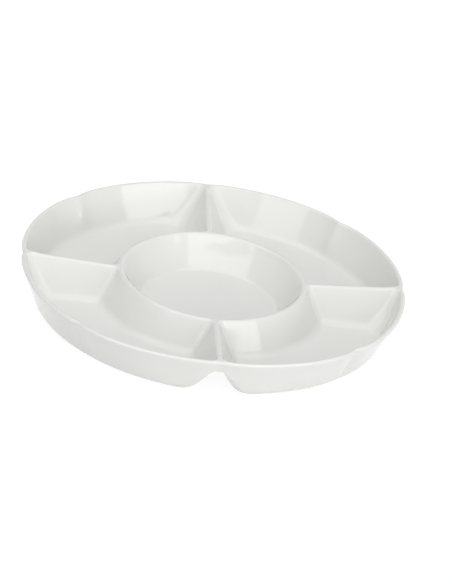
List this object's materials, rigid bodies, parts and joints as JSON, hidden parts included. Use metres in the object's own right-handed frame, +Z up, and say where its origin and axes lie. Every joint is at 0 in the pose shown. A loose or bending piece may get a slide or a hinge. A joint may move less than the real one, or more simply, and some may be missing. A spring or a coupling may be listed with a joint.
{
  "type": "divided serving bowl",
  "caption": "Shallow round glazed ceramic serving dish with a scalloped wall, curved compartments round a raised centre bowl, notches under its dividers and unglazed feet",
  "frame": {"origin": "middle of the dish on the plane its feet stand on", "axes": "+Z up along the dish's middle axis, -Y to the front, so that the dividers lie along X and Y"},
  "size_m": [0.295, 0.295, 0.0355],
  "materials": {
    "glaze": "clear gloss glaze over white porcelain",
    "bare_foot": "unglazed, ground smooth"
  },
  "bodies": {
    "root": {"outer_rim": "glaze", "centre_ring": "glaze", "centre_bowl": "glaze", "divider_right": "glaze", "divider_back": "glaze", "divider_left": "glaze", "divider_front": "glaze", "compartment_back_right": "glaze", "compartment_back_left": "glaze", "compartment_front_left": "glaze", "compartment_front_right": "glaze", "foot_back_right": "bare_foot", "foot_back_left": "bare_foot", "foot_front_left": "bare_foot", "foot_front_right": "bare_foot", "foot_centre": "bare_foot"}
  },
  "joints": []
}
